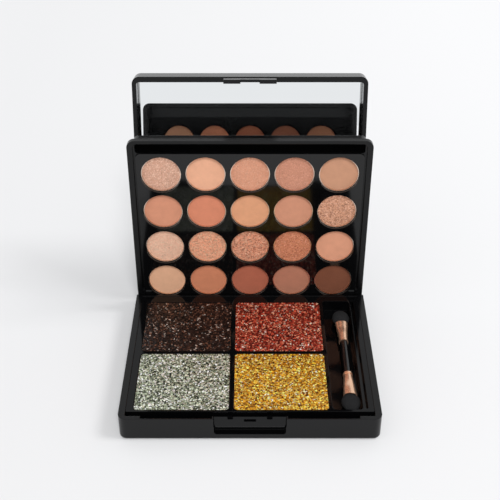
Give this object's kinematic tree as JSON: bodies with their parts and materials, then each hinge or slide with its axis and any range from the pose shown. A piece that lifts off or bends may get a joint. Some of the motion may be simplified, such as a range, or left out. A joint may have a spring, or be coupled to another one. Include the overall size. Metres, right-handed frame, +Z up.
{
  "type": "eyeshadow palette",
  "caption": "Hinged three-leaf eyeshadow palette: base with glitter pans and applicator, flip tray of round powder pans on both faces, and a mirror lid with latch.",
  "frame": {"origin": "centre of the base's underside, on the surface that the palette stands on", "axes": "+X to the user's right along the hinges, +Y away from the user towards the lid, +Z up"},
  "size_m": [0.1314, 0.1554, 0.133],
  "materials": {
    "shell_black": "satin black moulded plastic",
    "panel_black": "high-gloss black plastic",
    "latch_black": "glossy black plastic",
    "tin_metal": "bright pressed sheet",
    "pin_steel": "drawn steel wire",
    "spring_black": "blackened spring steel",
    "felt_black": "black felt strip",
    "mirror_glass": "silvered glass",
    "handle_black": "glossy black plastic",
    "rose_gold": "rose gold lacquered metal",
    "sponge_black": "black latex foam",
    "glitter_dark": "dark brown pressed glitter",
    "glitter_red": "copper red pressed glitter",
    "glitter_silver": "silver sage pressed glitter",
    "glitter_gold": "gold pressed glitter",
    "shade_1_1": "pressed powder",
    "shade_1_2": "pressed powder",
    "shade_1_3": "pressed powder",
    "shade_1_4": "pressed powder",
    "shade_1_5": "pressed powder",
    "shade_2_1": "pressed powder",
    "shade_2_2": "pressed powder",
    "shade_2_3": "pressed powder",
    "shade_2_4": "pressed powder",
    "shade_2_5": "pressed powder",
    "shade_3_1": "pressed powder",
    "shade_3_2": "pressed powder",
    "shade_3_3": "pressed powder",
    "shade_3_4": "pressed powder",
    "shade_3_5": "pressed powder",
    "shade_4_1": "pressed powder",
    "shade_4_2": "pressed powder",
    "shade_4_3": "pressed powder",
    "shade_4_4": "pressed powder",
    "shade_4_5": "pressed powder",
    "rear_powder": "pressed powder, brown shades"
  },
  "bodies": {
    "base": {"base_shell": "shell_black", "base_panel": "panel_black", "glitter_tins": "tin_metal", "tray_hinge_pins": "pin_steel", "lid_hinge_pin": "pin_steel", "glitter_silver": "glitter_silver", "glitter_gold": "glitter_gold", "glitter_dark": "glitter_dark", "glitter_red": "glitter_red"},
    "latch": {"latch_button": "latch_black", "latch_hooks": "spring_black"},
    "flip_tray": {"tray_frame": "shell_black", "tray_felt": "felt_black", "tray_front_panel": "panel_black", "tray_rear_panel": "panel_black", "front_tins": "tin_metal", "rear_tins": "tin_metal", "shade_1_1": "shade_1_1", "shade_1_2": "shade_1_2", "shade_1_3": "shade_1_3", "shade_1_4": "shade_1_4", "shade_1_5": "shade_1_5", "shade_2_1": "shade_2_1", "shade_2_2": "shade_2_2", "shade_2_3": "shade_2_3", "shade_2_4": "shade_2_4", "shade_2_5": "shade_2_5", "shade_3_1": "shade_3_1", "shade_3_2": "shade_3_2", "shade_3_3": "shade_3_3", "shade_3_4": "shade_3_4", "shade_3_5": "shade_3_5", "shade_4_1": "shade_4_1", "shade_4_2": "shade_4_2", "shade_4_3": "shade_4_3", "shade_4_4": "shade_4_4", "shade_4_5": "shade_4_5", "rear_shades_1": "rear_powder", "rear_shades_2": "rear_powder", "rear_shades_3": "rear_powder", "rear_shades_4": "rear_powder"},
    "lid": {"lid_shell": "shell_black", "mirror": "mirror_glass"},
    "applicator": {"applicator_handle": "handle_black", "ferrule_front": "rose_gold", "ferrule_rear": "rose_gold", "sponge_front": "sponge_black", "sponge_rear": "sponge_black"}
  },
  "joints": [
    {"name": "tray_fold", "type": "hinge", "parent": "base", "child": "flip_tray", "pos_m": [0, 0.0464, 0.01575], "axis": [1, 0, 0], "range_deg": [0, 90]},
    {"name": "lid_close", "type": "hinge", "parent": "base", "child": "lid", "pos_m": [0, 0.0599, 0.0177], "axis": [1, 0, 0], "range_deg": [0, 103]},
    {"name": "latch_press", "type": "slide", "parent": "base", "child": "latch", "axis": [0, 1, 0], "range_m": [0, 0.0012], "stiffness_N_per_m": 1500},
    {"name": "applicator_slide", "type": "slide", "parent": "base", "child": "applicator", "axis": [0, 1, 0], "range_m": [0, 0.005]}
  ],
  "couplings": [
    {"joint": "lid_close", "follows": "tray_fold", "ratio": 1.1444}
  ]
}
